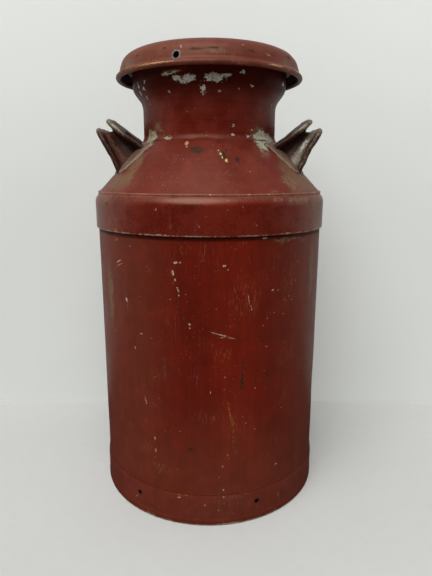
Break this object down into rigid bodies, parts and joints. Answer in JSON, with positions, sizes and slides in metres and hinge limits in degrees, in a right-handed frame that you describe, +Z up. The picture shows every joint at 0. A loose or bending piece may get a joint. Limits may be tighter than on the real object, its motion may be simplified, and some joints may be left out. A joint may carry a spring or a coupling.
{
  "type": "milk can",
  "caption": "Cylindrical steel milk can with conical shoulder, flared neck, channel bail handles, foot hoop and lift-off umbrella lid.",
  "frame": {"origin": "on the floor at the centre of the foot hoop", "axes": "+Z up along the can's axis; -Y is the front; the handles stand on +X and -X"},
  "size_m": [0.3362, 0.3362, 0.635],
  "materials": {
    "body_paint": "satin, dusty, worn red-oxide paint",
    "hoop_paint": "satin, worn on the edges to steel",
    "breast_paint": "satin, scuffed, with bare spots",
    "neck_paint": "satin, with flaked patches under the lid",
    "lid_paint": "satin, faded and dusty on top",
    "handle_steel": "paint mostly worn off, dull tinned steel and rust brown",
    "tinned_steel": "dull, stained tinned steel",
    "wire_steel": "dull steel wire",
    "solder": "dull grey solder, partly painted over"
  },
  "bodies": {
    "can": {"foot_hoop": "hoop_paint", "bottom_plate": "tinned_steel", "bottom_seam_solder": "solder", "body_shell": "body_paint", "side_seam_solder": "body_paint", "breast_hoop": "hoop_paint", "breast_cone": "breast_paint", "breast_seam_solder": "breast_paint", "neck": "neck_paint", "neck_rim_wire": "wire_steel", "neck_solder": "solder", "handle_left": "handle_steel", "handle_right": "handle_steel", "handle_left_solder": "solder", "handle_right_solder": "solder"},
    "lid": {"lid_cover": "lid_paint", "lid_rim_wire": "wire_steel", "lid_plug": "tinned_steel", "lid_plug_solder": "solder", "lid_grip": "lid_paint", "lid_grip_rivets": "wire_steel"}
  },
  "joints": [
    {"name": "lid_lift", "type": "slide", "parent": "can", "child": "lid", "axis": [0, 0, 1], "range_m": [0, 0.13]}
  ]
}
